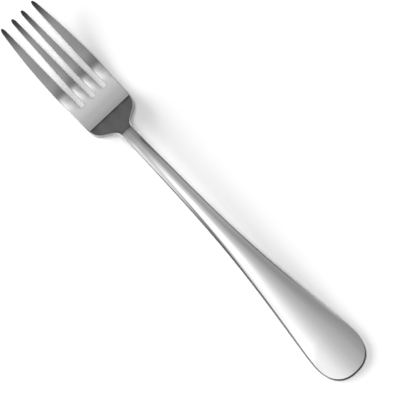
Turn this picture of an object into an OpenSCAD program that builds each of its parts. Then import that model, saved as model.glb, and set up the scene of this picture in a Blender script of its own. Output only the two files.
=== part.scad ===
// Dinner fork, stamped and polished from one bar of stainless steel.
// X runs along the fork with the tines towards +X, Y across it, and Z up from the table
// that it lies on. The origin is under the middle of its length. Sizes are in millimetres.

/* [Handle] */
// Length of the broad handle, from its rounded end to the stem
handle_length = 73.2; // [55:0.2:90]
// Greatest width of the handle
handle_width = 19.75; // [15:0.05:24]
// Length of the rounded end, from its tip to the widest place
handle_end_length = 11.8; // [8:0.2:14]
// Length over which the handle's top falls towards its rounded end
handle_dome_length = 18; // [12:0.5:24]
// Distance from the rounded end to where the handle touches the table
handle_touch_distance = 6; // [4:0.5:9]
// How far the underside rises from there to the rounded end
handle_tip_lift = 0.6; // [0.2:0.1:0.9]
// Distance from the widest place in which about two thirds of the broadening is lost
handle_fall_length = 42.5; // [34:0.1:52]
// Thickness of the handle at its end, on the middle line
handle_thickness = 3; // [2.4:0.1:3.6]
// Rise of the handle's top from its edges to its middle line
handle_crown = 0.7; // [0.2:0.05:1]
// How far the handle's sides lean in from their foot to their top
handle_lean = 0.2; // [0:0.05:0.6]
// Radius that the handle's edges are polished to
handle_edge_radius = 0.6; // [0.3:0.05:0.8]

/* [Stem] */
// Length of the stem, from the handle to the ridge at the neck
stem_length = 59.3; // [45:0.2:75]
// Width of the stem at its narrowest
stem_width = 5.4; // [4:0.05:7]
// Thickness of the stem over the highest place of its underside
stem_thickness = 3.3; // [2.6:0.1:4.2]
// Distance from the ridge back to the highest place of the stem's underside
arch_top_distance = 0; // [0:0.5:6]
// Rise of the stem's top from its edges to its middle line
stem_crown = 0.25; // [0.1:0.05:0.4]
// How far the stem's sides lean in from their foot to their top
stem_lean = 0.2; // [0:0.05:0.6]
// Radius that the stem's edges are polished to
stem_edge_radius = 0.5; // [0.3:0.05:0.8]

/* [Neck] */
// Length of the sloping neck, from the ridge to the crease at the shoulders
neck_length = 16.4; // [13:0.1:20]
// Height of the ridge above the table
neck_height = 11.7; // [10:0.1:14]
// Distance from the ridge back to where the shoulders start to spread
shoulder_start_distance = 4.2; // [2:0.1:6]
// Distance in which the shoulders gain half of their spread
shoulder_rise_length = 11.6; // [9.5:0.1:13.5]
// How far the neck's sides lean in from their foot to their top
neck_lean = 0.15; // [0:0.05:1]
// Radius that the neck's edges are polished to
neck_edge_radius = 0.3; // [0.2:0.05:0.6]

/* [Root] */
// Length of the solid root, from the crease to the bottoms of the slots
root_length = 10.9; // [9:0.1:14]
// Greatest width of the head
head_width = 23.3; // [20:0.05:27]
// Thickness of the root
root_thickness = 2.4; // [2:0.1:3.2]
// Distance from the crease to the lowest place of the bowl
bowl_low_distance = 8.5; // [6:0.1:9.9]
// Drop of the bowl from the crease to its lowest place
bowl_dip = 0.8; // [0.3:0.1:1.4]
// Depth of the flats that polishing and wear leave where the fork rests
rest_flat_depth = 0.1; // [0.05:0.01:0.15]
// How far the root's sides lean in from their foot to their top
root_lean = 0.15; // [0:0.05:0.6]
// Radius that the root's edges are polished to
root_edge_radius = 0.4; // [0.2:0.05:0.6]

/* [Tines] */
// Length of the tines, from the bottoms of the slots to the points
tine_length = 47.2; // [40:0.2:56]
// Distance from the points back to the widest place of the head
widest_distance = 35; // [30:0.5:42]
// Width over the four points
point_span = 18.6; // [16:0.1:21]
// Height of the points' tops above the table
point_height = 15.5; // [13:0.1:19]
// Thickness of the tines at the points
point_thickness = 1.3; // [1:0.05:1.8]
// Width of an inner tine where it leaves the root
inner_tine_root_width = 3.85; // [3.2:0.05:4.4]
// Width of an inner tine at its point
inner_tine_point_width = 1.85; // [1.5:0.05:2.2]
// Width of an outer tine at its point
outer_tine_point_width = 1.55; // [1.2:0.05:1.9]
// Width of the middle slot at its bottom
middle_slot_root_width = 2.15; // [1.6:0.05:2.8]
// Width of the middle slot between the points
middle_slot_point_width = 3.45; // [2.8:0.05:4.2]
// Width of a side slot at its bottom
side_slot_root_width = 2.15; // [1.6:0.05:2.8]
// Rise of each tine's top from its edges to its middle line
tine_crown = 0.04; // [0.02:0.01:0.08]
// Radius that the tines' edges are polished to
tine_edge_radius = 0.2; // [0.15:0.05:0.3]
// Length of the rounded end of each point
point_round_length = 1.2; // [0.8:0.1:1.6]

/* [Hidden] */
steel_colour = "silver";

// Stations along the fork, measured from the tip of the handle
ridge_at = handle_length + stem_length;
arch_top_at = ridge_at - arch_top_distance;
shoulders_at = ridge_at - shoulder_start_distance;
crease_at = ridge_at + neck_length;
bowl_low_at = crease_at + bowl_low_distance;
slots_at = crease_at + root_length;
fork_length = slots_at + tine_length;
widest_at = fork_length - widest_distance;

// Distances from the middle line to the tines' edges, at the bottoms of the slots and at the points
inner_tine_root_edges = [
    middle_slot_root_width / 2,
    middle_slot_root_width / 2 + inner_tine_root_width,
];
inner_tine_point_edges = [
    middle_slot_point_width / 2,
    middle_slot_point_width / 2 + inner_tine_point_width,
];
outer_tine_root_edge = inner_tine_root_edges[1] + side_slot_root_width;
outer_tine_point_edge = point_span / 2 - outer_tine_point_width;

// Powers of the curves: the handle's round end and its fall to the stem, the shoulders' spread,
// the narrowing of the head, the arch under and over the handle, and the rise of the bowl
handle_end_power = 2.3;
handle_fall_power = 1.43;
shoulder_power = 5;
head_power = 2;
arch_power = 1.35;
bowl_power = 2;
// Power that ends the stem's crown soon after the ridge
crown_end_power = 4;

// Shares of a section's half width and height that its corner radii and lean may take
corner_width_share = 0.42;
corner_height_share = 0.42;
lean_width_share = 0.3;
// Share of the edge radius that is left where a tine leaves the root
root_corner_share = 0.4;
// Angle at which a rounded end starts, so that its tip is a small flat and not an edge
tip_angle = 8;

// Counts of stations along each piece and of points round its sections
end_steps = 10;
handle_steps = 20;
stem_steps = 16;
neck_steps = 14;
root_steps = 10;
slot_steps = 5;
tine_steps = 15;
point_steps = 5;
corner_steps = 3;
crown_steps = 8;

// Linear blend of a and b at share s
function blend(a, b, s) = a + (b - a) * s;

// Cubic from height a with slope ma to height b with slope mb, over a length, at share s
function ease(a, ma, b, mb, length, s) =
    a * (1 + 2 * s) * (1 - s) * (1 - s) + ma * length * s * (1 - s) * (1 - s)
    + b * s * s * (3 - 2 * s) + mb * length * s * s * (s - 1);

// Height lost at distance d inside an edge that is rounded to radius r
function edge_drop(d, r) = d >= r ? 0 : r - sqrt(max(0, r * r - (r - d) * (r - d)));

// Share of its full width that a rounded end has at distance d from its tip
function round_share(d, length, power) =
    let (near = min(1, max(d / length, 1 - cos(tip_angle))))
    pow(1 - pow(1 - near, power), 1 / power);

// Half width of the fork's outline at station u
function broadening(u) =
    exp(-pow(max(0, u - handle_end_length) / handle_fall_length, handle_fall_power));
function spread(u) =
    u <= shoulders_at ? 0
    : 1 / (1 + pow(shoulder_rise_length / (u - shoulders_at), shoulder_power));
function half_width(u) =
    u < handle_end_length ? handle_width / 2 * round_share(u, handle_end_length, handle_end_power)
    : stem_width / 2 + (handle_width - stem_width) / 2 * broadening(u)
        + (head_width - stem_width) / 2 * spread(u)
        - (head_width - point_span) / 2 * pow(max(0, u - widest_at) / widest_distance, head_power);

// Top and underside of the handle and stem on the middle line; the underside runs on to the crease
function arch(u, top_at) =
    let (reach = max(0, u - handle_touch_distance) / (top_at - handle_touch_distance))
    pow(sin(90 * min(1, reach)), arch_power);
function bar_top(u) =
    let (end = max(0, handle_dome_length - u) / handle_dome_length)
    blend(handle_thickness, neck_height, arch(u, ridge_at)) - handle_crown * end * end;
function bar_bottom(u) =
    u < handle_touch_distance
        ? handle_tip_lift * pow(1 - u / handle_touch_distance, 2) - rest_flat_depth
    : u < arch_top_at ? blend(-rest_flat_depth, neck_height - stem_thickness, arch(u, arch_top_at))
    : ease(neck_height - stem_thickness, 0, head_bottom(crease_at), -2 * bowl_dip / bowl_low_distance,
        crease_at - arch_top_at, (u - arch_top_at) / (crease_at - arch_top_at));

// Top, thickness and underside of the root and tines on the middle line
low_top = root_thickness - rest_flat_depth;
function head_top(u) =
    u < bowl_low_at ? low_top + bowl_dip * pow((bowl_low_at - u) / bowl_low_distance, bowl_power)
    : blend(low_top, point_height, pow((u - bowl_low_at) / (fork_length - bowl_low_at), bowl_power));
function head_thickness(u) =
    blend(root_thickness, point_thickness, max(0, u - slots_at) / tine_length);
function head_bottom(u) = head_top(u) - head_thickness(u);

// One closed section from y_right to y_left, as points [y, z] that run round it. Its top has
// a crown, its sides lean in, its corners are round, and it is cut flat on the table.
function section(y_right, y_left, top, bottom, crown, lean, radius) =
    let (
        mid = (y_right + y_left) / 2,
        half = (y_left - y_right) / 2,
        shoulder = top - crown,
        r = min(radius, half * corner_width_share, (shoulder - bottom) * corner_height_share),
        foot_half = half - r,
        top_half = half - r - min(lean, half * lean_width_share)
    )
    concat(
        [for (k = [0:corner_steps]) let (a = 180 + 90 * k / corner_steps)
            [mid - foot_half + r * cos(a), max(0, bottom + r + r * sin(a))]],
        [for (k = [0:corner_steps]) let (a = 270 + 90 * k / corner_steps)
            [mid + foot_half + r * cos(a), max(0, bottom + r + r * sin(a))]],
        [for (k = [0:corner_steps]) let (a = 90 * k / corner_steps)
            [mid + top_half + r * cos(a), shoulder - r + r * sin(a)]],
        [for (k = [1:crown_steps - 1]) let (y = 1 - 2 * k / crown_steps)
            [mid + top_half * y, top - crown * y * y]],
        [for (k = [0:corner_steps]) let (a = 90 + 90 * k / corner_steps)
            [mid - top_half + r * cos(a), shoulder - r + r * sin(a)]]
    );

// Solid through a list of sections, each [station, section points]
module loft(sections) {
    count = len(sections[0][1]);
    last = len(sections) - 1;
    corner = function (i, j) i * count + j % count;
    polyhedron(
        points = [for (s = sections) for (p = s[1]) [s[0] - fork_length / 2, p[0], p[1]]],
        faces = concat(
            [[for (j = [0:count - 1]) corner(0, j)]],
            [[for (j = [count - 1:-1:0]) corner(last, j)]],
            [for (i = [0:last - 1]) for (j = [0:count - 1])
                [corner(i, j), corner(i + 1, j), corner(i + 1, j + 1)]],
            [for (i = [0:last - 1]) for (j = [0:count - 1])
                [corner(i, j), corner(i + 1, j + 1), corner(i, j + 1)]]
        )
    );
}

// Section of the handle or stem at station u
function bar_section(u) =
    let (
        half = half_width(u),
        at_end = u < handle_end_length,
        broad = at_end ? 1 : (half * 2 - stem_width) / (handle_width - stem_width),
        end_share = at_end ? pow(half * 2 / handle_width, 2) : 1,
        drop = edge_drop(u, handle_edge_radius)
    )
    [u, section(-half, half, bar_top(u) - drop, bar_bottom(u) + drop,
        blend(stem_crown, handle_crown, broad) * end_share,
        blend(stem_lean, handle_lean, broad),
        blend(stem_edge_radius, handle_edge_radius, broad))];

// Section of the neck at share s of its length
function neck_section(s) =
    let (
        u = blend(ridge_at, crease_at, s),
        half = half_width(u)
    )
    [u, section(-half, half, blend(neck_height, head_top(crease_at), s), bar_bottom(u),
        stem_crown * pow(1 - s, crown_end_power), neck_lean, neck_edge_radius)];

// Section of the root at station u
function root_section(u) =
    let (half = half_width(u))
    [u, section(-half, half, head_top(u), head_bottom(u), 0, root_lean, root_edge_radius)];

// Share of a slot's half width that its round bottom still fills at station u
function slot_share(u, width) =
    let (left = max(0, 1 - (u - slots_at) / width * 2))
    1 - sqrt(max(0, 1 - left * left));

// Section of a tine at station u, from its inner to its outer edge. Side is 1 on the left
// and -1 on the right.
function tine_section(u, inner_edge, outer_edge, side) =
    let (
        to_point = fork_length - u,
        clear_share = min(1, (u - slots_at) / side_slot_root_width),
        mid = (inner_edge + outer_edge) / 2,
        half = (outer_edge - inner_edge) / 2 * round_share(to_point, point_round_length, 2),
        drop = edge_drop(to_point, tine_edge_radius)
    )
    [u, section(side * mid - half, side * mid + half, head_top(u) - drop, head_bottom(u) + drop,
        tine_crown * clear_share, 0,
        tine_edge_radius * blend(root_corner_share, 1, clear_share))];

// Stations of a tine: close together at the bottom of the slot and at the point
tine_stations = concat(
    [for (k = [0:slot_steps - 1])
        slots_at + side_slot_root_width / 2 * (1 - cos(90 * k / slot_steps))],
    [for (k = [0:tine_steps - 1])
        blend(slots_at + side_slot_root_width / 2, fork_length - point_round_length, k / tine_steps)],
    [for (k = [0:point_steps])
        fork_length - point_round_length * (1 - sin(90 * k / point_steps))]
);

module inner_tine(side) {
    loft([for (u = tine_stations)
        let (
            s = (u - slots_at) / tine_length,
            inner = blend(inner_tine_root_edges[0], inner_tine_point_edges[0], s),
            outer = blend(inner_tine_root_edges[1], inner_tine_point_edges[1], s)
        )
        tine_section(u,
            inner - middle_slot_root_width / 2 * slot_share(u, middle_slot_root_width),
            outer + side_slot_root_width / 2 * slot_share(u, side_slot_root_width), side)]);
}

module outer_tine(side) {
    loft([for (u = tine_stations)
        let (
            s = (u - slots_at) / tine_length,
            inner = blend(outer_tine_root_edge, outer_tine_point_edge, s)
        )
        tine_section(u, inner - side_slot_root_width / 2 * slot_share(u, side_slot_root_width),
            half_width(u), side)]);
}

// The broad handle, which rests on the table near its rounded end
module handle() {
    color(steel_colour)
        loft(concat(
            [for (k = [0:end_steps - 1])
                bar_section(handle_end_length * (1 - cos(90 * k / end_steps)))],
            [for (k = [0:handle_steps])
                bar_section(blend(handle_end_length, handle_length, k / handle_steps))]
        ));
}

// The narrow stem, up to the sharp ridge across its top
module stem() {
    color(steel_colour)
        loft([for (k = [0:stem_steps]) bar_section(blend(handle_length, ridge_at, k / stem_steps))]);
}

// The sloping neck, whose top is flat and whose sides spread into the shoulders
module neck() {
    color(steel_colour)
        loft([for (k = [0:neck_steps]) neck_section(k / neck_steps)]);
}

// The solid root, from the crease to the bottoms of the slots
module root() {
    color(steel_colour)
        loft([for (k = [0:root_steps]) root_section(blend(crease_at, slots_at, k / root_steps))]);
}

module outer_tine_left() {
    color(steel_colour)
        outer_tine(1);
}

module inner_tine_left() {
    color(steel_colour)
        inner_tine(1);
}

module inner_tine_right() {
    color(steel_colour)
        inner_tine(-1);
}

module outer_tine_right() {
    color(steel_colour)
        outer_tine(-1);
}

handle();
stem();
neck();
root();
outer_tine_left();
inner_tine_left();
inner_tine_right();
outer_tine_right();
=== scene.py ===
import math

import bpy
from mathutils import Matrix, Vector


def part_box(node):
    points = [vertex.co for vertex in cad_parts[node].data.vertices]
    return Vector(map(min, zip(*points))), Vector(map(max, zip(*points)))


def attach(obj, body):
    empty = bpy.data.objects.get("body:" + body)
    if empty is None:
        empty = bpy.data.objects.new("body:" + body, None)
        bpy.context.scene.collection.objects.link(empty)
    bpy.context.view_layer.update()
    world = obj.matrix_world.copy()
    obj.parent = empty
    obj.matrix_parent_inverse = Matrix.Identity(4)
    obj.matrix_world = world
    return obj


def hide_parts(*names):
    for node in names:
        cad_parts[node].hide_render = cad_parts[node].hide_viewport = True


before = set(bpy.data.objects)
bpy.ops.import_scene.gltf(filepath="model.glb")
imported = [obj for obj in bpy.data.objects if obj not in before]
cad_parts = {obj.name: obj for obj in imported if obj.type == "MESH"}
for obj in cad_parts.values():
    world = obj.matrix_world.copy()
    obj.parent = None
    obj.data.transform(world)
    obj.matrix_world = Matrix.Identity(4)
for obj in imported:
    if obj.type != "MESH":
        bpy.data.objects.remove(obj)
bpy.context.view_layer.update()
mm = 0.001

# Sizes are in millimetres, and u runs along the fork from the tip of the handle. The lengths
# of the pieces and the handle's width come from the frame. The rest follows the part's curves.
handleBox, stemBox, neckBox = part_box("handle"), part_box("stem"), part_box("neck")
rootBox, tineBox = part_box("root"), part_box("outer_tine_left")
startX = handleBox[0].x / mm

handle = {
    "width": 2 * handleBox[1].y / mm,
    "endLength": 11.8,  # the rounded end, from its tip to the widest place
    "endPower": 2.3,  # 2 would be an ellipse
    "fallLength": 42.5,  # how fast the handle narrows to the stem
    "fallPower": 1.43,
    "domeLength": 18,  # the top falls towards the tip over this length
    "touchDistance": 6,
    "tipLift": 0.6,
    "riseReaches": (-4, -2, 0, 2, 4),  # the top's rise is averaged over these places
    "thickness": 3,
    "crown": 0.7,
    "lean": 0.05,
    "radius": 0.6,  # height of the polished edge
    "edge": 1.5,  # width of the polished edge
    "endEdge": 0.3,  # its width at the tip, from which it widens over the next length
    "endEdgeLength": 32,
    "leastTop": 0.3,  # share of the half width that the top keeps at the tip
}
stem = {
    "width": 5.4, "thickness": 3.3, "archPower": 1.35,
    "crown": 0.28, "lean": 0.05, "radius": 0.55, "edge": 0.9,
}
neck = {
    "height": 11.7, "shoulderDistance": 4.2, "riseLength": 11.6, "risePower": 5, "crownFade": 4,
    "lean": 0.15, "radius": 0.3, "edge": 0.3, "edgeBlend": 8,
}
root = {
    "thickness": 2.4, "dip": 0.8, "dipLength": 8.5, "flatDepth": 0.1,
    "lean": 0.15, "radius": 0.4, "edge": 0.4, "edgeBlend": 8,
}
head = {
    "width": 23.3, "widestDistance": 35, "pointSpan": 18.6, "pointHeight": 15.5,
    "pointThickness": 1.3,
}
tines = {
    "slotWidth": 2.15,
    "innerRoot": (1.075, 4.925),  # where an inner tine's sides lie at the slots' bottoms
    "innerPoint": (1.725, 3.575),  # and at the points
    "outerRoot": 7.075,
    "outerPoint": 7.65,
    "roundLength": 2,
    "crown": 0.02,
    "crownLength": 5,
    "rootCrown": 0.1,  # a slight swell beside the slots' bottoms, which catches the light
    "rootCrownRise": 3,
    "rootCrownEnd": 12,
    "rootCrownFall": 6,
    "radius": 0.2,
    "edgeBlend": 14,
}
at = {
    "stem": stemBox[0].x / mm - startX,
    "ridge": neckBox[0].x / mm - startX,
    "crease": rootBox[0].x / mm - startX,
    "slots": tineBox[0].x / mm - startX,
    "tips": tineBox[1].x / mm - startX,
}
at["shoulders"] = at["ridge"] - neck["shoulderDistance"]
at["bowlLow"] = at["crease"] + root["dipLength"]
at["widest"] = at["tips"] - head["widestDistance"]

# Fineness of the mesh
ringSteps = {
    "handleEnd": 44, "handle": 60, "stem": 60, "neck": 40, "root": 30,
    "slotEnd": 14, "tine": 50, "point": 12,
}
barColumns, tineColumns = 56, 20
arcSteps, wallSteps = 8, 3
settleSteps = 3
tiny, far = 0.0001, 1e9


def blend(a, b, share):
    return a + (b - a) * share


def smooth(share):
    share = min(1, max(0, share))
    return share * share * (3 - 2 * share)


def slopeOf(curve, u, step=0.02):
    return (curve(u + step) - curve(u - step)) / (2 * step)


# Outline, top and underside
def broadening(u):
    return math.exp(-(max(0, u - handle["endLength"]) / handle["fallLength"]) ** handle["fallPower"])


def halfWidth(u):
    spread = 0
    if u > at["shoulders"]:
        spread = 1 / (1 + (neck["riseLength"] / (u - at["shoulders"])) ** neck["risePower"])
    narrowing = (max(0, u - at["widest"]) / (at["tips"] - at["widest"])) ** 2
    return (
        stem["width"] / 2
        + (handle["width"] - stem["width"]) / 2 * broadening(u)
        + (head["width"] - stem["width"]) / 2 * spread
        - (head["width"] - head["pointSpan"]) / 2 * narrowing
    )


def arch(u):
    start = handle["touchDistance"]
    share = min(1, max(0, u - start) / (at["ridge"] - start))
    return math.sin(math.pi / 2 * share) ** stem["archPower"]


# The top's rise starts softly, as a polished one does
def barTop(u):
    end = max(0, handle["domeLength"] - u) / handle["domeLength"]
    reaches = handle["riseReaches"]
    rise = sum(arch(u + reach) for reach in reaches) / len(reaches)
    return blend(handle["thickness"], neck["height"], rise) - handle["crown"] * end * end


def headTop(u):
    lowTop = root["thickness"] - root["flatDepth"]
    if u < at["bowlLow"]:
        return lowTop + root["dip"] * ((at["bowlLow"] - u) / root["dipLength"]) ** 2
    reach = (u - at["bowlLow"]) / (at["tips"] - at["bowlLow"])
    return blend(lowTop, head["pointHeight"], reach * reach)


def headBottom(u):
    share = max(0, u - at["slots"]) / (at["tips"] - at["slots"])
    return headTop(u) - blend(root["thickness"], head["pointThickness"], share)


def neckShare(u):
    return (u - at["ridge"]) / (at["crease"] - at["ridge"])


def neckTop(u):
    return blend(neck["height"], headTop(at["crease"]), neckShare(u))


# The underside of the neck is one curve that leaves the arch level and meets the bowl's slope
def bottomAt(u):
    archBottom = neck["height"] - stem["thickness"]
    if u < handle["touchDistance"]:
        return handle["tipLift"] * (1 - u / handle["touchDistance"]) ** 2 - root["flatDepth"]
    if u < at["ridge"]:
        return blend(-root["flatDepth"], archBottom, arch(u))
    if u >= at["crease"]:
        return headBottom(u)
    s = neckShare(u)
    endSlope = -2 * root["dip"] / root["dipLength"]
    return (
        archBottom * (1 + 2 * s) * (1 - s) ** 2
        + headBottom(at["crease"]) * s * s * (3 - 2 * s)
        + endSlope * (at["crease"] - at["ridge"]) * s * s * (s - 1)
    )


# How wide and high the polished edges are and how far the sides lean in, one smooth course of
# each over the whole fork
def course(u, key):
    value = blend(stem[key], handle[key], broadening(u))
    value = blend(value, neck[key], smooth((u - at["ridge"]) / neck["edgeBlend"] + 1))
    value = blend(value, root[key], smooth((u - at["crease"]) / root["edgeBlend"] + 0.5))
    if key == "edge":
        value = blend(handle["endEdge"], value, smooth(u / handle["endEdgeLength"]))
    last = 0 if key == "lean" else tines["radius"]
    return blend(value, last, smooth((u - at["slots"]) / tines["edgeBlend"]))


def roundingAt(u):
    return [course(u, key) for key in ("edge", "radius", "lean")]


# Share of the handle's width that its rounded end has reached at u
def endShare(u):
    near = max(0, 1 - u / handle["endLength"])
    return max(tiny, 1 - near ** handle["endPower"]) ** (1 / handle["endPower"])


def crownOf(u, form):
    if form == "neck":
        return stem["crown"] * max(0, 1 - neckShare(u)) ** neck["crownFade"]
    if form == "root":
        return 0
    return blend(stem["crown"], handle["crown"], broadening(u)) * endShare(u) ** 2


def topHalf(u):
    half = handle["width"] / 2 * endShare(u) if u < handle["endLength"] else halfWidth(u)
    return max(half - course(u, "edge") - course(u, "lean"), handle["leastTop"] * half)


# The top surfaces: one each for the bar, the neck and the root, and one for each tine
middleTops = {"bar": barTop, "neck": neckTop, "root": headTop}
limitsOf = {
    "bar": (-far, at["ridge"]), "neck": (at["ridge"], at["crease"]), "root": (at["crease"], far),
}


def barSurface(form):
    def surface(u, y):
        return middleTops[form](u) - crownOf(u, form) * (y / topHalf(u)) ** 2
    return surface


def tineSurface(sides):
    def surface(u, y):
        inner, outer = sides(u)
        half = (outer - inner) / 2 - tines["radius"]
        past = u - at["slots"]
        swell = smooth(past / tines["rootCrownRise"])
        swell *= smooth((tines["rootCrownEnd"] - past) / tines["rootCrownFall"])
        rise = tines["crown"] * smooth(past / tines["crownLength"]) + tines["rootCrown"] * swell
        return headTop(u) - rise * ((y - (inner + outer) / 2) / half) ** 2
    return surface


# The slopes are taken inside the limits, so the ridge and the crease stay sharp
def surfaceNormal(surface, u, y, limits, step=0.01):
    lowU, highU = max(u - step, limits[0]), min(u + step, limits[1])
    slopeU = (surface(highU, y) - surface(lowU, y)) / (highU - lowU)
    slopeY = (surface(u, y + step) - surface(u, y - step)) / (2 * step)
    return Vector((-slopeU, -slopeY, 1)).normalized()


def topPoint(surface, u, y, limits):
    return (u, y, surface(u, y)), surfaceNormal(surface, u, y, limits)


def underPoint(u, y):
    z = bottomAt(u)
    down = Vector((slopeOf(bottomAt, u), 0, -1)).normalized() if z > 0 else Vector((0, 0, -1))
    return (u, y, max(0, z)), down


# One side of a ring: the polished edge from the top, the side wall, and the edge to the
# underside. It starts on the outline at foot, whose outward direction is out.
def sideOf(surface, foot, out, edge, radius, lean, limits):
    start = math.pi / 2
    for _ in range(settleSteps):
        inset = edge * (1 - math.cos(start)) + lean
        rim = Vector((foot[0] - out[0] * inset, foot[1] - out[1] * inset))
        normal = surfaceNormal(surface, rim.x, rim.y, limits)
        start = math.atan2(radius * normal.z, edge * (normal.x * out[0] + normal.y * out[1]))
    along = (-out[1], out[0])
    topSlope = -(normal.x * along[0] + normal.y * along[1]) / normal.z
    bottomSlope = slopeOf(bottomAt, foot[0]) * along[0]
    topCentre = (edge + lean, surface(rim.x, rim.y) - radius * math.sin(start))
    bottomCentre = (radius, bottomAt(foot[0]) + radius)
    wallAngle = math.atan2(lean, topCentre[1] - bottomCentre[1])
    points = []

    def add(centre, width, angle, slope):
        inward = centre[0] - width * math.cos(angle)
        z = centre[1] + radius * math.sin(angle)
        place = (foot[0] - out[0] * inward, foot[1] - out[1] * inward, max(0, z))
        outward, lift = math.cos(angle) * radius, math.sin(angle) * width
        direction = [outward * out[i] - slope * lift * along[i] for i in (0, 1)]
        points.append((place, Vector((*direction, lift)).normalized()))

    for k in range(1, arcSteps + 1):
        add(topCentre, edge, blend(start, wallAngle, k / arcSteps), topSlope)
    for k in range(1, wallSteps):
        share = k / wallSteps
        centre = [blend(topCentre[i], bottomCentre[i], share) for i in (0, 1)]
        add(centre, blend(edge, radius, share), wallAngle, blend(topSlope, bottomSlope, share))
    for k in range(arcSteps):
        add(bottomCentre, radius, blend(wallAngle, -math.pi / 2, k / arcSteps), bottomSlope)
    return rim, points


def insetFoot(foot, radius):
    (u, y), (outU, outY) = foot
    return u - outU * radius, y - outY * radius


# One ring round a piece. Its right and left feet are places (u, y) on the outline with the
# outward directions there. It holds the top row, left side, underside row and right side.
def ringOf(surface, right, left, rightRounding, leftRounding, columns, limits):
    rightRim, rightSide = sideOf(surface, *right, *rightRounding, limits)
    leftRim, leftSide = sideOf(surface, *left, *leftRounding, limits)
    rightFoot, leftFoot = insetFoot(right, rightRounding[1]), insetFoot(left, leftRounding[1])
    top, under = [], []
    for j in range(columns + 1):
        share = j / columns
        share = (share + (1 - math.cos(math.pi * share)) / 2) / 2  # closer towards the edges
        u, y = blend(rightRim.x, leftRim.x, share), blend(rightRim.y, leftRim.y, share)
        top.append(topPoint(surface, u, y, limits))
        under.append(underPoint(*(blend(rightFoot[i], leftFoot[i], share) for i in (0, 1))))
    return top, leftSide, under[::-1], rightSide[::-1]


# Left and right feet of a ring whose top edge lies at u
def barFeet(u):
    edge, _, lean = roundingAt(u)
    footU = u
    for _ in range(settleSteps):
        slope = slopeOf(halfWidth, footU)
        length = math.hypot(1, slope)
        footU = u - slope / length * (edge + lean)
    half = halfWidth(footU)
    out = (-slope / length, 1 / length)
    return ((footU, half), out), ((footU, -half), (out[0], -out[1]))


def barRing(u, form):
    left, right = barFeet(u)
    rounding = roundingAt(u)
    return ringOf(barSurface(form), right, left, rounding, rounding, barColumns, limitsOf[form])


def barRings(startU, endU, steps, form):
    return [barRing(blend(startU, endU, k / steps), form) for k in range(steps + 1)]


# A ring of the handle's rounded end: 0 degrees at its tip, 90 at its widest place
def endRing(angle):
    power, half = handle["endPower"], handle["width"] / 2
    near, wide = math.cos(angle) ** (2 / power), math.sin(angle) ** (2 / power)
    out = (-near ** (power - 1) / handle["endLength"], wide ** (power - 1) / half)
    out = Vector(out).normalized()
    u, y = handle["endLength"] * (1 - near), half * wide
    right, left = ((u, -y), (out.x, -out.y)), ((u, y), (out.x, out.y))
    rounding = roundingAt(u)
    return ringOf(barSurface("bar"), right, left, rounding, rounding, barColumns, limitsOf["bar"])


firstAngle = 0.1  # degrees; at 0 the first ring would have no width
endAngles = [
    math.radians(blend(firstAngle, 90, k / ringSteps["handleEnd"]))
    for k in range(ringSteps["handleEnd"])
]
rings = {
    "handle": [endRing(angle) for angle in endAngles]
    + barRings(handle["endLength"], at["stem"], ringSteps["handle"], "bar"),
    "stem": barRings(at["stem"], at["ridge"], ringSteps["stem"], "bar"),
    "neck": barRings(at["ridge"], at["crease"], ringSteps["neck"], "neck"),
}
print("rings of the handle, stem and neck made")

# Rings of the tines: round the slot's bottom by angle, along the tine, then round its point
slotRadius = tines["slotWidth"] / 2
slotRounding = (tines["radius"], tines["radius"], 0)
lastAngle = 4  # degrees short of the very point


def tineShare(u):
    return (u - at["slots"]) / (at["tips"] - at["slots"])


def innerSides(u):
    return [blend(a, b, tineShare(u)) for a, b in zip(tines["innerRoot"], tines["innerPoint"])]


def outerSides(u):
    return blend(tines["outerRoot"], tines["outerPoint"], tineShare(u)), halfWidth(u)


def sideFoot(side, u, away):
    slope = slopeOf(side, u)
    length = math.hypot(1, slope)
    return (u, side(u)), (-away * slope / length, away / length)


def slotFoot(u, angle, y, away):
    across = y - away * slotRadius * (math.sin(angle) - 1)
    return (u, across), (math.cos(angle), away * math.sin(angle))


# An inner tine has a slot on both sides, and an outer one has the outline on its outside
def tineRings(sides, bothSlots):
    surface = tineSurface(sides)
    made = []

    def put(u, inner, outer):
        footU = outer[0][0]
        rounding = slotRounding
        if not bothSlots:
            rounding = (course(footU, "edge"), course(u, "radius"), course(footU, "lean"))
        limits = limitsOf["root"]
        made.append(ringOf(surface, inner, outer, slotRounding, rounding, tineColumns, limits))

    for k in range(ringSteps["slotEnd"]):
        angle = math.pi / 2 * k / ringSteps["slotEnd"]
        u = at["slots"] + slotRadius * (1 - math.cos(angle))
        inner, outer = sides(u)
        outerFoot = slotFoot(u, angle, outer, 1) if bothSlots else barFeet(u)[0]
        put(u, slotFoot(u, angle, inner, -1), outerFoot)
    roundAt = at["tips"] - tines["roundLength"]
    for k in range(ringSteps["tine"]):
        u = blend(at["slots"] + slotRadius, roundAt, k / ringSteps["tine"])
        outerFoot = sideFoot(lambda v: sides(v)[1], u, 1) if bothSlots else barFeet(u)[0]
        put(u, sideFoot(lambda v: sides(v)[0], u, -1), outerFoot)
    for k in range(ringSteps["point"] + 1):
        angle = math.radians(blend(90, lastAngle, k / ringSteps["point"]))
        u = roundAt + tines["roundLength"] * math.cos(angle)
        inner, outer = sides(u)
        mid, half = (inner + outer) / 2, (outer - inner) / 2
        out = (half * math.cos(angle), tines["roundLength"] * math.sin(angle))
        out = Vector(out).normalized()
        reach = half * math.sin(angle)
        put(u, ((u, mid - reach), (out.x, -out.y)), ((u, mid + reach), (out.x, out.y)))
    return made


def mirrored(ringList):
    flipped = []
    for ring in ringList:
        top, left, under, right = (
            [((p[0], -p[1], p[2]), Vector((d.x, -d.y, d.z))) for p, d in reversed(part)]
            for part in ring
        )
        flipped.append((top, right, under, left))
    return flipped


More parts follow.
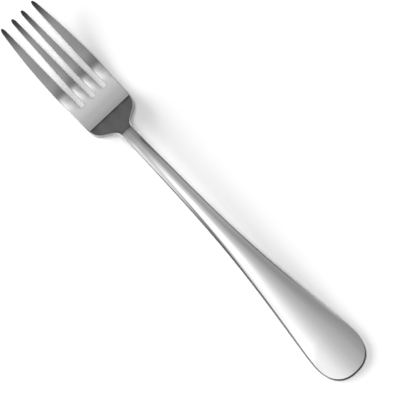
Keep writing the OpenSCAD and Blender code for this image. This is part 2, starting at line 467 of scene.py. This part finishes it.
rings["outerLeft"] = tineRings(outerSides, False)
rings["innerLeft"] = tineRings(innerSides, True)
rings["innerRight"] = mirrored(rings["innerLeft"])
rings["outerRight"] = mirrored(rings["outerLeft"])
print("rings of the tines made")


def joinRows(rows):
    joined = list(rows[0])
    for row in rows[1:]:
        joined += row[1:]
    return joined


# Rings of the root, whose columns run into the four tines' first rings
def rootRing(share):
    u = blend(at["crease"], at["slots"], share)
    surface, limits = barSurface("root"), limitsOf["root"]
    left, right = barFeet(u)
    rounding = roundingAt(u)
    rightSide = sideOf(surface, *right, *rounding, limits)[1]
    leftRim, leftSide = sideOf(surface, *left, *rounding, limits)
    first = [rings[key][0] for key in ("outerRight", "innerRight", "innerLeft", "outerLeft")]
    lastTop = joinRows([ring[0] for ring in first])
    lastUnder = joinRows([ring[2][::-1] for ring in first])
    topScale = leftRim.y / lastTop[-1][0][1]
    underScale = insetFoot(left, rounding[1])[1] / lastUnder[-1][0][1]
    bend = share ** 3
    top, under = [], []
    for (topPlace, _), (underPlace, _) in zip(lastTop, lastUnder):
        topU = u + (topPlace[0] - at["slots"]) * bend
        top.append(topPoint(surface, topU, topPlace[1] * topScale, limits))
        underU = u + (underPlace[0] - at["slots"]) * bend
        under.append(underPoint(underU, underPlace[1] * underScale))
    return top, leftSide, under[::-1], rightSide[::-1]


rings["root"] = [rootRing(k / ringSteps["root"]) for k in range(ringSteps["root"] + 1)]
print("rings of the root made")


# Mesh piece from a run of rings, closed at both ends, with the surface's own normals. The
# sides and the ends take the second material.
def pieceFrom(name, ringList, materials):
    vertices, normals, loops = [], [], []
    for ring in ringList:
        loops.append([])
        for place, direction in (point for part in ring for point in part):
            loops[-1].append(len(vertices))
            vertices.append(((place[0] + startX) * mm, place[1] * mm, place[2] * mm))
            normals.append(direction)
    counts = [len(part) for part in ringList[0]]
    total = sum(counts)
    onSide = [index % 2 == 1 for index, count in enumerate(counts) for _ in range(count)]
    faces, smoothFaces, materialIndices = [], [], []

    def addFace(corners, isSmooth, materialIndex):
        faces.append(tuple(corners))
        smoothFaces.append(isSmooth)
        materialIndices.append(materialIndex)

    for a, b in zip(loops, loops[1:]):
        for j in range(total):
            k = (j + 1) % total
            addFace((a[j], b[j], b[k], a[k]), True, 1 if onSide[j] and onSide[k] else 0)
    columns = counts[0] - 1
    underStart = counts[0] + counts[1]
    for loop, order in ((loops[0], 1), (loops[-1], -1)):
        for j in range(columns):
            across = underStart + columns - j
            corners = (loop[j], loop[j + 1], loop[across - 1], loop[across])
            addFace(corners[::order], False, 1)
        leftFan = [loop[columns + k] for k in range(counts[1] + 2)]
        rightFan = [loop[(underStart + columns + k) % total] for k in range(counts[3] + 2)]
        addFace(leftFan[::order], False, 1)
        addFace(rightFan[::order], False, 1)
    mesh = bpy.data.meshes.new(name)
    mesh.from_pydata(vertices, [], faces)
    for material in materials:
        mesh.materials.append(material)
    cornerNormals = []
    for polygon, isSmooth, index in zip(mesh.polygons, smoothFaces, materialIndices):
        polygon.use_smooth = True
        polygon.material_index = index
        flat = polygon.normal.copy()
        cornerNormals += [normals[v] if isSmooth else flat for v in polygon.vertices]
    mesh.normals_split_custom_set(cornerNormals)
    piece = bpy.data.objects.new(name, mesh)
    bpy.context.scene.collection.objects.link(piece)
    return piece


# Colours are sRGB hex as they look in the photograph
def linear(hexCode):
    channels = [int(hexCode[i:i + 2], 16) / 255 for i in (1, 3, 5)]
    return [c / 12.92 if c <= 0.04045 else ((c + 0.055) / 1.055) ** 2.4 for c in channels] + [1]


# Adds a node with its settings, its inputs, each a value or a socket to link from, and the
# stops of its ramp
def addNode(tree, kind, inputs=None, stops=(), **settings):
    node = tree.nodes.new(kind)
    for key, value in settings.items():
        setattr(node, key, value)
    for key, value in (inputs or {}).items():
        if isinstance(value, bpy.types.NodeSocket):
            tree.links.new(value, node.inputs[key])
        else:
            node.inputs[key].default_value = value
    if stops:
        node.color_ramp.interpolation = "EASE"
        elements = node.color_ramp.elements
        elements.remove(elements[-1])
        for index, (position, colour) in enumerate(stops):
            element = elements.new(position) if index else elements[0]
            element.position = position
            element.color = colour
    return node


def newMaterial(name):
    material = bpy.data.materials.new(name)
    material.use_nodes = True
    material.node_tree.nodes.clear()
    return material, material.node_tree


# What polishing and handling leave: lines along the fork and soft clouds. Real lines are finer,
# and these are as coarse as they need to be to show.
polish = {
    "lineLength": 12.5,
    "lineWidth": 0.1515,
    "cloudSize": 25,
    "noiseRange": (0.1, 0.45),  # what the lines times the clouds run between
    "bump": 0.15,
}


# Steel with painted light and shade along the fork: its tones hold stations and colours
def steel(name, finishAndPaintedLight):
    material, tree = newMaterial(name)
    place = addNode(tree, "ShaderNodeTexCoord").outputs["Object"]
    along = addNode(tree, "ShaderNodeSeparateXYZ", {"Vector": place}).outputs["X"]
    share = addNode(tree, "ShaderNodeMapRange", {
        "Value": along, "From Min": startX * mm, "From Max": (startX + at["tips"]) * mm,
    })
    tone = addNode(tree, "ShaderNodeValToRGB", {"Fac": share.outputs["Result"]}, [
        (u / at["tips"], linear(colour)) for u, colour in finishAndPaintedLight["tones"]
    ])
    acrossScale = 1 / (polish["lineWidth"] * mm)
    stretched = addNode(tree, "ShaderNodeMapping", {
        "Vector": place, "Scale": (1 / (polish["lineLength"] * mm), acrossScale, acrossScale),
    })
    lines = addNode(tree, "ShaderNodeTexNoise", {
        "Vector": stretched.outputs["Vector"], "Scale": 1, "Detail": 3, "Roughness": 0.6,
    })
    clouds = addNode(tree, "ShaderNodeTexNoise", {
        "Vector": place, "Scale": 1 / (polish["cloudSize"] * mm), "Detail": 2, "Roughness": 0.5,
    })
    mixed = addNode(tree, "ShaderNodeMath", {
        0: lines.outputs["Fac"], 1: clouds.outputs["Fac"],
    }, operation="MULTIPLY")
    spread = addNode(tree, "ShaderNodeMapRange", {
        "Value": mixed.outputs["Value"],
        "From Min": polish["noiseRange"][0], "From Max": polish["noiseRange"][1],
        "To Min": finishAndPaintedLight["roughness"][0], "To Max": finishAndPaintedLight["roughness"][1],
    })
    bump = addNode(tree, "ShaderNodeBump", {
        "Height": lines.outputs["Fac"], "Strength": polish["bump"],
        "Distance": finishAndPaintedLight["lineDepth"] * mm,
    })
    shader = addNode(tree, "ShaderNodeBsdfPrincipled", {
        "Metallic": 1, "Base Color": tone.outputs["Color"],
        "Roughness": spread.outputs["Result"], "Normal": bump.outputs["Normal"],
    })
    addNode(tree, "ShaderNodeOutputMaterial", {"Surface": shader.outputs["BSDF"]})
    return material


# From the crease on, both polished finishes: painted highlight at the slots, painted shade on tines
headPaintedLight = [
    (at["crease"] + 5, "#DCDCDC"), (at["slots"] + 3, "#EAEAEA"), (at["slots"] + 8.5, "#B8B8B8"),
    (at["slots"] + 11.5, "#7E7E7E"), (at["slots"] + 18, "#A4A4A4"),
]
# Mirror-polished 18/10 stainless steel: clear reflections of the studio with soft edges,
# faintly drawn out along the fork by the polishing lines
mirrorFinishAndPaintedLight = {
    "roughness": (0.07, 0.13),
    "lineDepth": 0.002,
    # Painted shade: the colour darkens towards the ridge, and the head's painted light follows
    "tones": [
        (at["ridge"] - 22, "#DCDCDC"), (at["ridge"] - 10, "#CACACA"), (at["ridge"] - 2, "#B4B4B4"),
        (at["ridge"], "#969696"), (at["crease"], "#DCDCDC"),
    ] + headPaintedLight,
}
# Belt-polished 18/10 stainless steel on the edges and in the slots, with painted shade: a colour
# painted greyer in bands along the fork, and painted darkest at the tip of the handle
edgeFinishAndPaintedShade = {
    "roughness": (0.08, 0.13),
    "lineDepth": 0.003,
    "tones": [
        (2.6, "#2E2E2E"), (8, "#A8A8A8"), (14, "#C0C0C0"), (22, "#E8E8E8"), (50, "#A2A2A2"),
        (62, "#989898"), (80, "#969696"), (92, "#868686"), (106, "#868686"), (119, "#D0D0D0"),
        (at["ridge"] + 1, "#C8C8C8"), (at["ridge"] + 6, "#949494"), (at["crease"] - 1, "#949494"),
    ] + headPaintedLight,
}
# Fine-ground 18/10 stainless steel on the neck: an even, dark satin, with painted shade that
# darkens it still more at the ridge and in the crease
neckFinishAndPaintedShade = {
    "roughness": (0.3, 0.34),
    "lineDepth": 0.001,
    "tones": [
        (at["ridge"], "#808080"), (at["ridge"] + 1.4, "#AAAAAA"), (at["crease"] - 1.3, "#AAAAAA"),
        (at["crease"] - 0.4, "#686868"),
    ],
}
mirrorSteel = steel("mirrorPolishedStainless1810PaintedLight", mirrorFinishAndPaintedLight)
edgeSteel = steel("beltPolishedStainless1810PaintedShade", edgeFinishAndPaintedShade)
neckSteel = steel("fineGroundStainless1810PaintedShade", neckFinishAndPaintedShade)
print("steel made")

pieces = {
    "handleSurface": ("handle", "handle"),
    "stemSurface": ("stem", "stem"),
    "neckSurface": ("neck", "neck"),
    "rootSurface": ("root", "root"),
    "outerTineLeftSurface": ("outer_tine_left", "outerLeft"),
    "innerTineLeftSurface": ("inner_tine_left", "innerLeft"),
    "innerTineRightSurface": ("inner_tine_right", "innerRight"),
    "outerTineRightSurface": ("outer_tine_right", "outerRight"),
}
for name, (node, key) in pieces.items():
    topSteel = neckSteel if key == "neck" else mirrorSteel
    piece = pieceFrom(name, rings[key], (topSteel, edgeSteel))
    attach(piece, "root")
    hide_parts(node)
print("eight pieces made")

# Matt white laminate: an even pale ground that takes soft shadows and mirrors nothing. Far from
# the fork it glows faintly, so it stays pale up to the horizon.
table = {
    "reach": 4,  # metres from the middle to each side
    "tones": ("#F4F4F4", "#F7F7F7"),
    "grainSize": 40,
    "roughness": 0.85,
    "specular": 0.1,
    "glowDistances": (0.35, 1.8),  # metres
    "glow": 0.7,
}
tableMaterial, tree = newMaterial("mattWhiteLaminate")
place = addNode(tree, "ShaderNodeTexCoord").outputs["Object"]
grain = addNode(tree, "ShaderNodeTexNoise", {
    "Vector": place, "Scale": 1 / (table["grainSize"] * mm), "Detail": 3,
})
tone = addNode(tree, "ShaderNodeMix", {
    "Factor": grain.outputs["Fac"],
    "A": linear(table["tones"][0]), "B": linear(table["tones"][1]),
}, data_type="RGBA")
distance = addNode(tree, "ShaderNodeVectorMath", {0: place}, operation="LENGTH")
glow = addNode(tree, "ShaderNodeMapRange", {
    "Value": distance.outputs["Value"],
    "From Min": table["glowDistances"][0], "From Max": table["glowDistances"][1],
    "To Max": table["glow"],
})
shader = addNode(tree, "ShaderNodeBsdfPrincipled", {
    "Base Color": tone.outputs["Result"], "Roughness": table["roughness"],
    "Specular IOR Level": table["specular"],
    "Emission Color": linear("#FFFFFF"), "Emission Strength": glow.outputs["Result"],
})
addNode(tree, "ShaderNodeOutputMaterial", {"Surface": shader.outputs["BSDF"]})
reach = table["reach"]
corners = [(-reach, -reach, 0), (reach, -reach, 0), (reach, reach, 0), (-reach, reach, 0)]
tableMesh = bpy.data.meshes.new("table")
tableMesh.from_pydata(corners, [], [(0, 1, 2, 3)])
tableMesh.materials.append(tableMaterial)
floor = bpy.data.objects.new("table", tableMesh)
bpy.context.scene.collection.objects.link(floor)
print("table made")

# Studio: a soft surround whose brightness depends on the direction only. Stops are heights over
# the table in degrees: along the fork from beyond the tines (0) to beyond the handle (180), or
# across it from the left (0) to the right (180).
surroundAlong = [
    (3, 0.09), (12, 0.12), (22, 0.22), (37, 0.46), (48, 0.6), (60, 0.71), (63, 0.76), (66, 0.95),
    (70, 0.98), (75, 0.82), (84, 0.74), (98, 0.8), (100, 0.63), (103, 0.42), (105.7, 0.15),
    (109, 0.06), (116, 0.08), (130, 0.42), (150, 0.55), (175, 0.45),
]
# Each wall or light brightens (sign 1) or darkens (sign -1) the surround by its course across
# the fork, less its level, times its course along the fork
surroundParts = {
    # The left half: nearly black low down, and a bright bank of light below the zenith
    "leftBank": {
        "sign": 1, "level": 0.9, "brightest": 2.1,
        "across": [(4, 0.05), (62, 0.05), (70, 1.6), (76, 2.05), (81, 1.8), (86, 1.33), (91, 0.9)],
        "along": [
            (8, 0), (36, 0.1), (56, 0), (62, 0), (65, 0.3), (68, 0.8), (71, 1), (76.5, 1),
            (79, 0.4), (80.5, 0.7), (83, 0.7), (86, 0.3), (100, 0.3), (130, 0.8),
        ],
    },
    # A low window on the left that only the rising stem and the head's edges see
    "lowWindow": {
        "sign": 1,
        "across": [(34, 0), (42, 1), (60, 1), (69, 0.4), (78, 0.1), (86, 0)],
        "along": [(38, 0), (45, 1), (56.5, 1), (59, 0.5), (61, 0)],
    },
    # A faint slit beside it, seen just inside the stem's left edge
    "slit": {
        "sign": 1,
        "across": [(45, 0), (51, 0.35), (62, 0.3), (70, 0)],
        "along": [(58, 0), (60, 1), (64, 1), (67, 0)],
    },
    # The slanting dark sill under the window, which draws the line along the stem's left edge
    "sill": {
        "sign": -1, "slant": 0.65,
        "across": [(4, 0.85), (40, 0.85), (47, 0)],
        "along": [(25.5, 0), (28, 1), (34, 1), (38, 0)],
    },
    # The right half, darkest a little beyond the zenith
    "rightShade": {
        "sign": -1,
        "across": [
            (91, 0), (95.5, 0.17), (100, 0.27), (104, 0.42), (109, 0.53), (117, 0.5),
            (132, 0.38), (176, 0.3),
        ],
        "along": [
            (8, 0), (36, 0.2), (56, 0.6), (70, 1), (81, 1), (86, 0.5), (100, 0.3), (130, 0.8),
        ],
    },
    # A low dark wall on the right that only the rising stem's edge sees
    "rightWall": {
        "sign": -1,
        "across": [(113, 0), (121, 0.5), (150, 0.5)],
        "along": [(44, 0), (50, 1), (56.5, 1), (59.5, 0)],
    },
}
fill, backdrop = 0.19, 0.93

world = bpy.data.worlds.new("studio")
bpy.context.scene.world = world
world.use_nodes = True
tree = world.node_tree
tree.nodes.clear()
generated = addNode(tree, "ShaderNodeTexCoord").outputs["Generated"]
direction = addNode(tree, "ShaderNodeVectorMath", {0: generated}, operation="NORMALIZE")
axes = addNode(tree, "ShaderNodeSeparateXYZ", {"Vector": direction.outputs["Vector"]}).outputs
angles = {}
for key, axis in (("along", "X"), ("across", "Y")):
    radians = addNode(tree, "ShaderNodeMath", {0: axes["Z"], 1: axes[axis]}, operation="ARCTAN2")
    halfTurns = addNode(tree, "ShaderNodeMath", {
        0: radians.outputs["Value"], 1: math.pi,
    }, operation="DIVIDE")
    angles[key] = halfTurns.outputs["Value"]


# Stops of a ramp from degrees and brightnesses; a ramp holds no more than 1
def greys(stops, brightest=1):
    return [(degrees / 180, (value / brightest,) * 3 + (1,)) for degrees, value in stops]


swing = 1
for part in surroundParts.values():
    brightest, level = part.get("brightest", 1), part.get("level", 0)
    angle = angles["along"]
    if "slant" in part:
        angle = addNode(tree, "ShaderNodeMath", {
            0: angles["across"], 1: -part["slant"], 2: angle,
        }, operation="MULTIPLY_ADD").outputs["Value"]
    along = addNode(tree, "ShaderNodeValToRGB", {"Fac": angle}, greys(part["along"]))
    across = addNode(tree, "ShaderNodeValToRGB", {
        "Fac": angles["across"],
    }, greys(part["across"], brightest))
    change = addNode(tree, "ShaderNodeMath", {
        0: across.outputs["Color"], 1: part["sign"] * brightest, 2: -part["sign"] * level,
    }, operation="MULTIPLY_ADD")
    swing = addNode(tree, "ShaderNodeMath", {
        0: along.outputs["Color"], 1: change.outputs["Value"], 2: swing,
    }, operation="MULTIPLY_ADD").outputs["Value"]
ground = addNode(tree, "ShaderNodeValToRGB", {"Fac": angles["along"]}, greys(surroundAlong))
brightness = addNode(tree, "ShaderNodeMath", {
    0: ground.outputs["Color"], 1: swing,
}, operation="MULTIPLY")
# Only reflections see the surround: the table gets a dim fill instead, and the camera a pale
# backdrop
ray = addNode(tree, "ShaderNodeLightPath").outputs
reflected = addNode(tree, "ShaderNodeMix", {
    "Factor": ray["Is Glossy Ray"], "A": fill, "B": brightness.outputs["Value"],
})
shown = addNode(tree, "ShaderNodeMix", {
    "Factor": ray["Is Camera Ray"], "A": reflected.outputs["Result"], "B": backdrop,
})
background = addNode(tree, "ShaderNodeBackground", {
    "Strength": shown.outputs["Result"], "Color": linear("#FFFFFF"),
})
addNode(tree, "ShaderNodeOutputWorld", {"Surface": background.outputs["Background"]})
print("studio made")

# Two soft panels light the table, and the steel reflects the surround instead. The key hangs
# close to the camera's line of sight, so the fork hides its shadow. The low one stands at the
# left of the picture and throws the soft shadow to the right. Places and sizes are in metres.
panels = {
    "keyPanel": {"place": (-0.66, 0.05, 1.24), "size": (0.4, 0.6), "energy": 12.5},
    "leftPanel": {"place": (0.6, 0.78, 0.5), "size": (1.5, 0.95), "energy": 17.5},
}
for name, panel in panels.items():
    lamp = bpy.data.lights.new(name, "AREA")
    lamp.shape = "RECTANGLE"
    lamp.size, lamp.size_y = panel["size"]
    lamp.energy = panel["energy"]
    light = bpy.data.objects.new(name, lamp)
    light.location = panel["place"]
    light.rotation_mode = "QUATERNION"
    light.rotation_quaternion = (-light.location).to_track_quat("-Z", "Y")
    light.visible_glossy = False
    light.visible_camera = False
    bpy.context.scene.collection.objects.link(light)
print("panels made")

# Camera: over the end of the handle, turned so that the fork lies on the photograph's diagonal
photoCamera = {
    "elevation": math.radians(62),
    "turn": math.radians(2),
    "distance": 0.56,  # metres
    "aim": (-9.6, -2.2, 0),
    "forkOnScreen": (-0.6924, 0.7215),  # rightwards and upwards
    "focalPixels": 1438,
    "imagePixels": 400,
    "sensor": 36,
}
elevation, turn = photoCamera["elevation"], photoCamera["turn"]
cameraLine = Vector((-math.cos(turn), math.sin(turn), math.tan(elevation))).normalized()
cameraPlace = cameraLine * photoCamera["distance"]
back = (cameraPlace - Vector(photoCamera["aim"]) * mm).normalized()
forkLine = Vector((1, 0, 0))
alongView = (forkLine - back * forkLine.dot(back)).normalized()
sideView = back.cross(alongView)
screenX, screenY = Vector(photoCamera["forkOnScreen"]).normalized()
rightwards = screenX * alongView - screenY * sideView
upwards = screenY * alongView + screenX * sideView
cameraData = bpy.data.cameras.new("camera")
cameraData.sensor_width = photoCamera["sensor"]
cameraData.lens = photoCamera["focalPixels"] * photoCamera["sensor"] / photoCamera["imagePixels"]
cameraData.clip_start, cameraData.clip_end = 0.02, 20
camera = bpy.data.objects.new("camera", cameraData)
bpy.context.scene.collection.objects.link(camera)
turned = Matrix((rightwards, upwards, back)).transposed()
camera.matrix_world = Matrix.Translation(cameraPlace) @ turned.to_4x4()
bpy.context.scene.camera = camera

view = bpy.context.scene.view_settings
view.view_transform = "Standard"
view.look = "None"
view.exposure = 0
view.gamma = 1
print("camera made")
